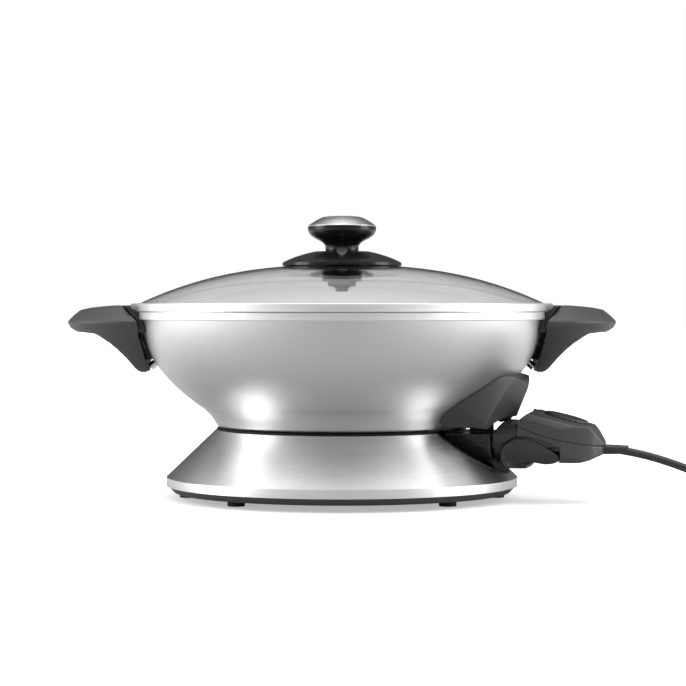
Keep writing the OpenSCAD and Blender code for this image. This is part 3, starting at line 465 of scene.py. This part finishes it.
def moulded(node, voxel, rounds):
    """A node's solid, remeshed finely and relaxed until its edges are round."""
    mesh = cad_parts[node].data.copy()
    mesh.materials.clear()
    form = bmesh.new()
    form.from_mesh(mesh)
    bmesh.ops.remove_doubles(form, verts=form.verts, dist=0.01 * mm)
    form.to_mesh(mesh)
    form.free()
    body = bpy.data.objects.new("remesh", mesh)
    bpy.context.scene.collection.objects.link(body)
    remesh = body.modifiers.new("remesh", "REMESH")
    remesh.mode = "VOXEL"
    remesh.voxel_size = voxel * mm
    mesh = evaluated(body)
    form = bmesh.new()
    form.from_mesh(mesh)
    for _ in range(rounds):
        bmesh.ops.smooth_vert(form, verts=form.verts, factor=0.5,
                              use_axis_x=True, use_axis_y=True, use_axis_z=True)
    form.to_mesh(mesh)
    form.free()
    for polygon in mesh.polygons:
        polygon.use_smooth = True
    return mesh


def cut(mesh, cutter):
    """The mesh with the cutter's volume taken away."""
    body = bpy.data.objects.new("body", mesh)
    tool = bpy.data.objects.new("tool", cutter)
    for piece in (body, tool):
        bpy.context.scene.collection.objects.link(piece)
    modifier = body.modifiers.new("cut", "BOOLEAN")
    modifier.operation = "DIFFERENCE"
    modifier.solver = "EXACT"
    modifier.object = tool
    result = evaluated(body)
    bpy.data.objects.remove(tool)
    return result


def circle_brushed(name, tone, rough, anisotropic):
    """Metal with fine brush lines that run round the wok's axis."""
    lines, broad_lines = 1300, 160
    material, nodes, shader = finish(name, Metallic=1.0, Anisotropic=anisotropic,
                                     Anisotropic_Rotation=0.25)
    place = nodes.place()
    x, y, z = nodes.axes(place)
    radius = (x * x + y * y).math("SQRT")
    angle = y.math("ARCTAN2", x)
    line = nodes.noise(nodes.vector(radius * lines, angle * 6, z * lines), 1.0, 4, 0.7)
    broad = nodes.vector(radius * broad_lines, angle * 2, z * broad_lines)
    wear = nodes.noise(broad, 1.0, 2) * 0.03 + nodes.noise(place, 14, 3) * 0.03
    set_socket(nodes, shader, "Base Color", nodes.mix(line, grey(tone * 0.84), grey(tone * 1.12)))
    set_socket(nodes, shader, "Roughness", rough - 0.05 + line * 0.07 + wear)
    set_socket(nodes, shader, "Normal", nodes.bump(line, 0.02 * mm, 0.5))
    return material


def polished(name, tone, rough):
    """Bright metal with the faint swirls of polishing."""
    material, nodes, shader = finish(name, Metallic=1.0)
    place = nodes.place()
    cloud = nodes.noise(place, 25, 4)
    fine = nodes.noise(place, 400, 2)
    set_socket(nodes, shader, "Base Color", nodes.mix(cloud, grey(tone * 0.95), grey(tone * 1.03)))
    set_socket(nodes, shader, "Roughness", rough + cloud * 0.04)
    set_socket(nodes, shader, "Normal", nodes.bump(fine, 0.002 * mm, 0.4))
    return material


def moulded_black(name, tone, rough, grain=0.03, specular=0.5):
    """Moulded plastic with a fine spark texture."""
    material, nodes, shader = finish(name, Specular_IOR_Level=specular)
    place = nodes.place()
    spark = nodes.noise(place, 1300, 3, 0.6)
    cloud = nodes.noise(place, 40, 3)
    set_socket(nodes, shader, "Base Color", nodes.mix(cloud, grey(tone * 0.88), grey(tone * 1.12)))
    set_socket(nodes, shader, "Roughness", rough - 0.04 + cloud * 0.05 + spark * 0.05)
    set_socket(nodes, shader, "Normal", nodes.bump(spark, grain * mm, 0.6))
    return material


def cone_z(r):
    return base_top_z - cone_slope * (r - base_top_r)


def skirt_face(inward):
    """Outline of the skirt's face from its top edge down to its foot."""
    across, down = 0.8, 0.4
    start = (base_r - shoulder_in, cone_z(base_r - shoulder_in))
    corner = (base_r - shoulder_corner, cone_z(base_r - shoulder_corner))
    face = [(base_top_r, base_top_z)] + bend(start, corner, (base_r, band_top), 10)
    return ([(r - inward * across, z - inward * down) for r, z in face]
            + [(base_r - inward, band_low)])


def notch_outline(grow):
    """U of the notch, seen along the heat control: across and up."""
    half, middle, low = notch_half_w + grow, base_top_z - 2.5, notch_low - grow
    arc = [(half * math.cos(q), middle + (middle - low) * math.sin(q))
           for q in [-math.pi + math.pi * k / 32 for k in range(33)]]
    return [(-half, notch_above)] + arc + [(half, notch_above)]


def along_probe(name, outline, start, end):
    """A bar of that outline, across and up, run outward along the heat control."""
    mesh = bpy.data.meshes.new(name)
    form = bmesh.new()
    ends = [[form.verts.new(on_probe(u, -v, z)) for v, z in outline] for u in (start, end)]
    form.faces.new(ends[0])
    form.faces.new(reversed(ends[1]))
    for k in range(len(outline)):
        k2 = (k + 1) % len(outline)
        form.faces.new([ends[0][k], ends[1][k], ends[1][k2], ends[0][k2]])
    bmesh.ops.recalc_face_normals(form, faces=form.faces)
    form.to_mesh(mesh)
    form.free()
    return mesh


def base_skirt():
    lip_in = base_top_r - lip_width
    outline = rounded([(lip_in, base_top_z)] + skirt_face(0), 0.8, 3, closed=False)
    outline += skirt_face(sheet)[:0:-1]
    outline += [(base_top_r - 1.4, base_top_z - sheet), (lip_in, base_top_z - sheet)]
    mesh = turned(outline, 300)
    mesh.materials.clear()
    for polygon in mesh.polygons:
        on_band = polygon.center.z < (band_top - 0.2) * mm
        polygon.material_index = 1 if on_band else 0
    mesh.materials.append(steel_brushed)
    mesh.materials.append(band_steel)
    mesh = cut(mesh, along_probe("notch", notch_outline(notch_gap), notch_from, notch_to))
    smooth_by_angle(mesh, 40)
    shown("base_skirt_sheet", mesh, [], "base", ["base_skirt"])


def base_tray():
    rim_in, floor_z = tray_rim_r - tray_rim_t, tray_low + tray_t
    outline = rounded([(tray_hole_r, tray_low), (tray_r - 6, tray_low), (tray_r, tray_low + 6),
                       (tray_rim_r, tray_low + 6), (tray_rim_r, tray_rim_z), (rim_in, tray_rim_z),
                       (rim_in, floor_z + 3), (tray_r - 7, floor_z), (tray_hole_r, floor_z)],
                      0.7, 3)
    shown("base_tray_moulding", turned(outline, 240), [tray_plastic], "base",
          ["base_tray"])


steel_brushed = circle_brushed("steel_brushed", 0.74, 0.32, anisotropic=0.75)
band_steel = circle_brushed("band_steel", 0.93, 0.42, anisotropic=0.3)
steel_bright = polished("steel_bright", 0.8, 0.16)
tray_plastic = moulded_black("tray_plastic", 0.045, 0.42)
trim_plastic = moulded_black("trim_plastic", 0.012, 0.4)
# Near-black, dull ring in the gap under the bowl's foot: painted shade.
seam_shade_black = moulded_black("seam_shade_black", 0.004, 0.6, specular=0.2)
base_skirt()
shown("notch_trim_moulding", moulded("notch_trim", 0.6, 3), [trim_plastic], "base",
      ["notch_trim"])
base_tray()
shown("seam_shade_ring", moulded("seam_ring", 0.5, 2), [seam_shade_black], "base",
      ["seam_ring"])
dressed("heat_shield", steel_bright)
dressed("release_dial", tray_plastic)
dressed("release_ring", steel_bright)


# ---- Feet and tray screws -------------------------------------------------------------
# Six soft rubber feet with a rounded sole, pressed into the tray, and three pan-head
# screws with a cross recess that hold the tray and the heat shield.

foot_r, foot_shoulder_r, foot_h = 7.75, 7.4, 6
foot_stem_r, foot_top = 3.1, 8
foot_count, screw_count = 6, 3


def foot_rubber():
    material, nodes, shader = finish("foot_rubber", Roughness=0.7)
    grain = nodes.noise(nodes.place(), 800, 3)
    set_socket(nodes, shader, "Base Color", nodes.mix(grain, grey(0.02), grey(0.035)))
    set_socket(nodes, shader, "Normal", nodes.bump(grain, 0.04 * mm))
    return material


sole = foot_rubber()
foot_outline = rounded([(0, 0), (foot_r, 0), (foot_shoulder_r, foot_h), (foot_stem_r, foot_h),
                        (foot_stem_r, foot_top), (0, foot_top)], 1.0, 4, closed=False)
for i in range(1, foot_count + 1):
    foot = turned(foot_outline, 48)
    low_corner, high_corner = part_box(f"foot_{i}")
    middle = (low_corner + high_corner) / 2
    foot.transform(Matrix.Translation((middle.x, middle.y, 0)))
    shown(f"foot_rubber_{i}", foot, [sole], "base", [f"foot_{i}"])
for i in range(1, screw_count + 1):
    dressed(f"tray_screw_{i}", steel_bright)


# ---- Bowl -----------------------------------------------------------------------------
# Deep round-bottomed aluminium casting whose half outline is a superellipse, satin outside
# and coated dark inside. A bright turned band runs round the rim, and a ring under the bowl
# stands on the base. The heating element lies in the underside.

wok_r, wok_depth, wok_plane = 186, 131, 175
wok_wall, wok_power = 3.4, 1.9
wok_low = wok_plane - wok_depth
rim_r, rim_z, rim_low = 187.8, 167.2, 160.2
foot_ring_r, foot_ring_z, foot_ring_in = 111.6, 64, 105.6
channel_in, channel_out, channel_low = 77, 98, 54.5


def wok_z(r, wall=0):
    share = min(1, r / (wok_r - wall)) ** wok_power
    return wok_plane - (wok_depth - wall) * (1 - share) ** (1 / wok_power)


def wok_radius(z, wall=0):
    share = (max(0, wok_plane - z) / (wok_depth - wall)) ** wok_power
    return (wok_r - wall) * (1 - share) ** (1 / wok_power)


def bowl_shape():
    heights = [wok_low + (rim_low - wok_low) * (k / 60) ** 1.6 for k in range(1, 61)]
    outside = [(wok_radius(z), z) for z in heights if z > 80]
    under = [(wok_radius(z), z) for z in heights if wok_radius(z) < channel_in - 1]
    channel = [(channel_in, wok_z(channel_in)), (channel_in, channel_low),
               (channel_out, channel_low), (channel_out, wok_z(channel_out)),
               (foot_ring_in, wok_z(foot_ring_in))]
    steps = [(-2.6, 0), (-1, 0.4), (0.4, 1.6), (1.8, 3.6), (4.3, 7.6), (6.8, 11)]
    foot_ring = [(foot_ring_in, foot_ring_z)] + [(foot_ring_r + out, foot_ring_z + up)
                                                 for out, up in steps]
    rim = rounded([(wok_radius(rim_low), rim_low), (rim_r - 0.4, rim_low + 0.2),
                   (rim_r, rim_low + 1), (rim_r, rim_z), (wok_radius(rim_z, wok_wall), rim_z),
                   (wok_radius(150, wok_wall), 150)], 0.7, 4, closed=False)[:-1]
    inside = [(wok_radius(z, wok_wall), z)
              for z in [rim_z - (rim_z - 47.5) * (k / 70) ** 0.7 for k in range(6, 70)]]
    return ([(0, wok_low)] + under + channel + foot_ring + outside + rim + inside
            + [(0, wok_low + wok_wall)])


def in_bowl(r, z):
    return z > wok_z(min(r, wok_r - wok_wall), wok_wall) - 1.2 and r < 183


def satin_cast():
    """Fine-blasted aluminium, with the faint turning marks of the casting's outside."""
    material, nodes, shader = finish("satin_cast", Metallic=1.0)
    place = nodes.place()
    x, y, z = nodes.axes(place)
    grain = nodes.noise(place, 1500, 3, 0.6)
    around = nodes.vector((x * x + y * y).math("SQRT") * 900, y.math("ARCTAN2", x) * 3, z * 900)
    turning = nodes.noise(around, 1.0, 3)
    cloud = nodes.noise(place, 9, 4)
    set_socket(nodes, shader, "Base Color", nodes.mix(grain, grey(0.66), grey(0.76)))
    set_socket(nodes, shader, "Roughness", 0.36 + cloud * 0.05 + turning * 0.04)
    set_socket(nodes, shader, "Normal", nodes.bump(grain + turning * 0.6, 0.012 * mm, 0.5))
    return material


def non_stick():
    """Dark cooking coat with a fine orange peel and light flecks."""
    material, nodes, shader = finish("non_stick", Coat_Weight=0.25)
    place = nodes.place()
    peel = nodes.noise(place, 700, 3)
    fleck = nodes.noise(place, 2200, 1).math("GREATER_THAN", 0.66)
    set_socket(nodes, shader, "Base Color", nodes.mix(fleck, grey(0.028), grey(0.09)))
    set_socket(nodes, shader, "Roughness", 0.34 + peel * 0.1)
    set_socket(nodes, shader, "Normal", nodes.bump(peel, 0.02 * mm, 0.5))
    return material


def element_sheath():
    """Heater sheath, browned by use."""
    material, nodes, shader = finish("element_sheath", Metallic=1.0)
    cloud = nodes.noise(nodes.place(), 90, 4)
    tone = nodes.mix(cloud, (0.16, 0.11, 0.08, 1), (0.32, 0.27, 0.23, 1))
    set_socket(nodes, shader, "Base Color", tone)
    set_socket(nodes, shader, "Roughness", 0.42 + cloud * 0.15)
    set_socket(nodes, shader, "Normal", nodes.bump(cloud, 0.05 * mm, 0.5))
    return material


cast_satin = satin_cast()
coat = non_stick()
bowl_mesh = turned(bowl_shape(), 300, in_bowl)
for polygon in bowl_mesh.polygons:
    if polygon.material_index == 0 and polygon.center.z > (rim_low - 0.6) * mm:
        polygon.material_index = 2
shown("bowl_casting", bowl_mesh, [cast_satin, coat, band_steel], "bowl_body",
      ["bowl"])
dressed("lock_stub", cast_satin)
dressed("sensor_sleeve", cast_satin)
dressed("heating_element", element_sheath())
dressed("terminal_near", steel_bright)
dressed("terminal_far", steel_bright)


# ---- Handles --------------------------------------------------------------------------
# Dark grey heatproof mouldings with a finger gap, each on a black bracket that hugs the
# bowl. A bright stud under each holds the bracket to the bowl.

handle_plastic = moulded_black("handle_plastic", 0.036, 0.46)
bracket_plastic = moulded_black("bracket_plastic", 0.01, 0.3)
for side in ("left", "right"):
    shown(f"handle_{side}_moulding", moulded(f"handle_{side}", 1.0, 8), [handle_plastic],
          "bowl_body", [f"handle_{side}"])
    shown(f"bracket_{side}_moulding", moulded(f"bracket_{side}", 0.8, 3), [bracket_plastic],
          "bowl_body", [f"bracket_{side}"])
    dressed(f"stud_{side}", steel_bright)


# ---- Guard and socket -----------------------------------------------------------------
# A grey moulded hood over the heat control, and the glossy black shroud round its
# terminals, both fixed under the bowl.

gloss_black = moulded_black("gloss_black", 0.014, 0.26, 0.01)
shown("guard_moulding", moulded("guard", 0.7, 5), [handle_plastic], "bowl_body",
      ["guard"])
shown("socket_moulding", moulded("socket", 0.7, 3), [gloss_black], "bowl_body",
      ["socket"])


# ---- Lid ------------------------------------------------------------------------------
# Clear tempered dome with a ground hole in its crown, held in a rolled steel hoop with a
# soft black gasket between them.

glass_r, glass_hole, glass_t = 184, 15, 4
crown_z, glass_sag, glass_power = 209.4, 36, 2.5
hoop_r, hoop_low, hoop_top, hoop_t = 189, 167.6, 174.6, 1.2
hoop_lip_r = 182.5
seat_r, seat_t, seat_h = 180.2, 1, 7


def glass_z(r):
    return crown_z - glass_sag * (r / glass_r) ** glass_power


def clear_glass():
    """Tempered glass: clear to lamps and shadows, with a faint cool body."""
    material, nodes, shader = finish("clear_glass", Base_Color=(0.96, 0.97, 0.97, 1),
                                     Roughness=0.0, Transmission_Weight=1.0, IOR=1.47)
    clear = nodes.add("ShaderNodeBsdfTransparent", {}, {"Color": grey(0.94)})
    glass = Socket(nodes, shader.outputs[0])
    mixed = nodes.add("ShaderNodeMixShader", {}, {0: nodes.shadow_ray(), 1: glass, 2: clear})
    nodes.tree.links.new(mixed.socket, nodes.tree.nodes["Material Output"].inputs[0])
    return material


def lid_glass():
    radii = [glass_hole + (glass_r - glass_hole) * (k / 60) for k in range(61)]
    top = [(r, glass_z(r)) for r in radii]
    low = [(r, glass_z(r) - glass_t) for r in reversed(radii)]
    shown("lid_glass_dome", turned(top + low, 300), [clear_glass()], "lid",
          ["lid_glass"])


def lid_hoop():
    lip = glass_z(hoop_lip_r)
    edge = glass_z(glass_r) + 0.1
    wall_in = hoop_r - hoop_t
    outline = rounded([(hoop_r, hoop_low), (hoop_r, hoop_top - 0.3),
                       (hoop_r - 0.8, hoop_top + 0.1), (hoop_lip_r, hoop_top + 0.4),
                       (hoop_lip_r, lip + 0.1), (glass_r, edge), (wall_in, edge),
                       (wall_in, hoop_low + 1), (seat_r, hoop_low + 1),
                       (seat_r - seat_t, hoop_low), (seat_r - seat_t, hoop_low - seat_h),
                       (seat_r, hoop_low - seat_h), (seat_r, hoop_low)], 0.5, 4)
    shown("lid_hoop_rolled", turned(outline, 300), [band_steel], "lid",
          ["lid_hoop"])


lid_glass()
lid_hoop()
dressed("lid_gasket", foot_rubber())


# ---- Vent plate, boss, knob and pointer -----------------------------------------------
# A glossy black plate on the lid's crown, clamped by a boss from below. The knob on it is
# glossy black plastic under a spun steel cap. It turns the vent's shutter, and a dark grey
# leaf on its neck points at the setting.

plate_top, plate_r, plate_low, plate_t = 221.4, 53.5, 208.3, 2
plate_hole_r, plate_flat_r = 9.9, 24
neck_r, neck_low = 14.9, 221.8
knob_r, cap_z, cap_h = 30.6, 243.7, 9.6
crown_share, crown_rise = 0.605, 0.84


def spun_steel():
    """Steel disc with fine lathe lines."""
    material, nodes, shader = finish("spun_steel", Metallic=1.0, Anisotropic=0.5,
                                     Anisotropic_Rotation=0.25)
    x, y, _ = nodes.axes(nodes.place())
    around = nodes.vector((x * x + y * y).math("SQRT") * 4200, y.math("ARCTAN2", x) * 1.5, 0.0)
    line = nodes.noise(around, 1.0, 3, 0.7)
    set_socket(nodes, shader, "Base Color", nodes.mix(line, grey(0.52), grey(0.68)))
    set_socket(nodes, shader, "Roughness", 0.2 + line * 0.12)
    set_socket(nodes, shader, "Normal", nodes.bump(line, 0.01 * mm, 0.5))
    return material


def vent_plate():
    shoulder, edge = (plate_r - 12, plate_top - 3.5), (plate_r, plate_low + 3)
    face = bend((plate_flat_r, plate_top), shoulder, edge, 18)
    back = bend((plate_flat_r, plate_top - plate_t), (plate_r - 12, plate_top - plate_t - 3.5),
                (plate_r - 2, plate_low + 2.6), 18)
    outline = [(plate_hole_r, plate_top)] + face
    outline += [(plate_r, plate_low + 0.4), (plate_r - 0.5, plate_low), (plate_r - 2, plate_low)]
    outline += back[::-1] + [(plate_hole_r, plate_top - plate_t)]
    shown("vent_plate_moulding", turned(outline, 200), [knob_gloss], "lid",
          ["vent_plate"])


def knob():
    outline = [(0, neck_low), (neck_r - 0.6, neck_low), (neck_r, neck_low + 0.6),
               (neck_r, neck_low + 3)]
    outline += bend((neck_r + 0.1, neck_low + 3.5), (neck_r + 0.6, neck_low + 7.7),
                    (knob_r - 7.3, cap_z - 11), 14)
    outline += bend((knob_r - 6.4, cap_z - 10.4), (knob_r - 0.4, cap_z - 7.1),
                    (knob_r, cap_z - 2.7), 12)
    outline += [(knob_r, cap_z - 0.3), (knob_r - 0.4, cap_z), (0, cap_z)]
    shown("knob_moulding", turned(outline, 160), [knob_gloss], "vent_knob",
          ["knob"])


def knob_cap():
    crown_edge = (knob_r * crown_share, cap_z + crown_rise * cap_h)
    side = rounded([(knob_r - 0.5, cap_z + 0.05), (knob_r - 0.1, cap_z + 0.08 * cap_h),
                    (knob_r * 0.892, cap_z + 0.32 * cap_h), (knob_r * 0.761, cap_z + 0.6 * cap_h),
                    crown_edge], 3, 4, closed=False)
    crown = bend(crown_edge, (knob_r * 0.5, cap_z + cap_h), (0, cap_z + cap_h), 12)
    outline = [(0, cap_z)] + side[:-1] + crown
    shown("knob_cap_spun", turned(outline, 160), [spun_steel()], "vent_knob",
          ["knob_cap"])


knob_gloss = moulded_black("knob_gloss", 0.006, 0.2, 0.002, specular=0.35)
pointer_grey = moulded_black("pointer_grey", 0.06, 0.3)
knob()
knob_cap()
vent_plate()
shown("lid_boss_moulding", moulded("lid_boss", 0.5, 2), [knob_gloss], "lid",
      ["lid_boss"])
shown("vent_shutter_moulding", moulded("vent_shutter", 0.4, 3), [knob_gloss], "vent_knob",
      ["vent_shutter"])
shown("vent_pointer_leaf", moulded("vent_pointer", 0.3, 5), [pointer_grey], "vent_knob",
      ["vent_pointer"])
dressed("knob_screw", knob_gloss)


# ---- Heat control ---------------------------------------------------------------------
# Dark grey two-part shell with a satin collar, a ribbed dial on its sloping top, a lamp,
# and a satin trigger under it. Its rod and contacts plug into the bowl's socket.

satin_black = moulded_black("satin_black", 0.03, 0.36, 0.015)
shell_grey = moulded_black("shell_grey", 0.05, 0.34, 0.02)
dial_plastic = moulded_black("dial_plastic", 0.02, 0.4)


def lamp_window():
    material, nodes, shader = finish("lamp_window", Roughness=0.15, Coat_Weight=0.5)
    facet = nodes.add("ShaderNodeTexVoronoi", {}, {"Vector": nodes.place(), "Scale": 900.0})
    tone = nodes.mix(facet, (0.05, 0.012, 0.008, 1), (0.12, 0.03, 0.02, 1))
    set_socket(nodes, shader, "Base Color", tone)
    set_socket(nodes, shader, "Normal", nodes.bump(facet, 0.1 * mm))
    return material


def contact_brass():
    material, nodes, shader = finish("contact_brass", Metallic=1.0)
    cloud = nodes.noise(nodes.place(), 120, 3)
    tone = nodes.mix(cloud, (0.5, 0.36, 0.16, 1), (0.68, 0.52, 0.26, 1))
    set_socket(nodes, shader, "Base Color", tone)
    set_socket(nodes, shader, "Roughness", 0.25 + cloud * 0.15)
    return material


def block_ceramic():
    material, nodes, shader = finish("block_ceramic", Roughness=0.6)
    cloud = nodes.noise(nodes.place(), 200, 4)
    tone = nodes.mix(cloud, (0.5, 0.46, 0.4, 1), (0.66, 0.62, 0.55, 1))
    set_socket(nodes, shader, "Base Color", tone)
    set_socket(nodes, shader, "Normal", nodes.bump(cloud, 0.05 * mm))
    return material


shown("probe_collar_moulding", moulded("probe_collar", 0.5, 4), [satin_black], "probe",
      ["probe_collar"])
shown("probe_upper_shell", moulded("probe_upper", 0.5, 4), [shell_grey], "probe",
      ["probe_upper"])
shown("probe_lower_shell", moulded("probe_lower", 0.5, 5), [shell_grey], "probe",
      ["probe_lower"])
shown("trigger_moulding", moulded("trigger", 0.5, 6), [satin_black], "trigger_body",
      ["trigger"])
shown("dial_moulding", moulded("dial", 0.35, 2), [dial_plastic], "dial_body",
      ["dial"])
brass = contact_brass()
dressed("lamp_lens", lamp_window())
dressed("contact_near", brass)
dressed("contact_far", brass)
dressed("thermostat", block_ceramic())
dressed("sensing_rod", steel_bright)
dressed("trigger_pin", satin_black)


# ---- Strain relief, tie and plug ------------------------------------------------------
# A tapered rubber sleeve where the cord leaves the shell, a tie round the coil, and the
# moulded plug with its two blades.

relief_from, relief_taper, relief_to = 228, 240, 258
relief_r, relief_tip, relief_fit = 4.4, 0.3, 0.05
relief_z = 47.4


def strain_relief():
    jacket_r = cord_diameter / 2
    outline = rounded([(jacket_r + relief_fit, relief_from), (relief_r, relief_from),
                       (relief_r, relief_taper), (jacket_r + relief_tip, relief_to),
                       (jacket_r + relief_fit, relief_to)], 0.3, 3)
    mesh = turned(outline, 40)
    lean = Matrix.Rotation(math.radians(90), 4, "Y")
    lift = Matrix.Translation((0, 0, relief_z * mm))
    mesh.transform(Matrix.Rotation(-probe_angle, 4, "Z") @ lift @ lean)
    return shown("strain_relief_sleeve", mesh, [rubber], "probe",
                 ["strain_relief"])


relief = strain_relief()
plug = shown("plug_moulding", moulded("plug", 0.6, 8), [rubber], "probe",
             ["plug"])
tie = shown("coil_tie_strap", moulded("coil_tie", 0.35, 1), [rubber], "probe",
            ["coil_tie"])
blades = [dressed(f"plug_blade_{i}", steel_bright) for i in (1, 2)]
tuple(on_probe(*cord_exit))
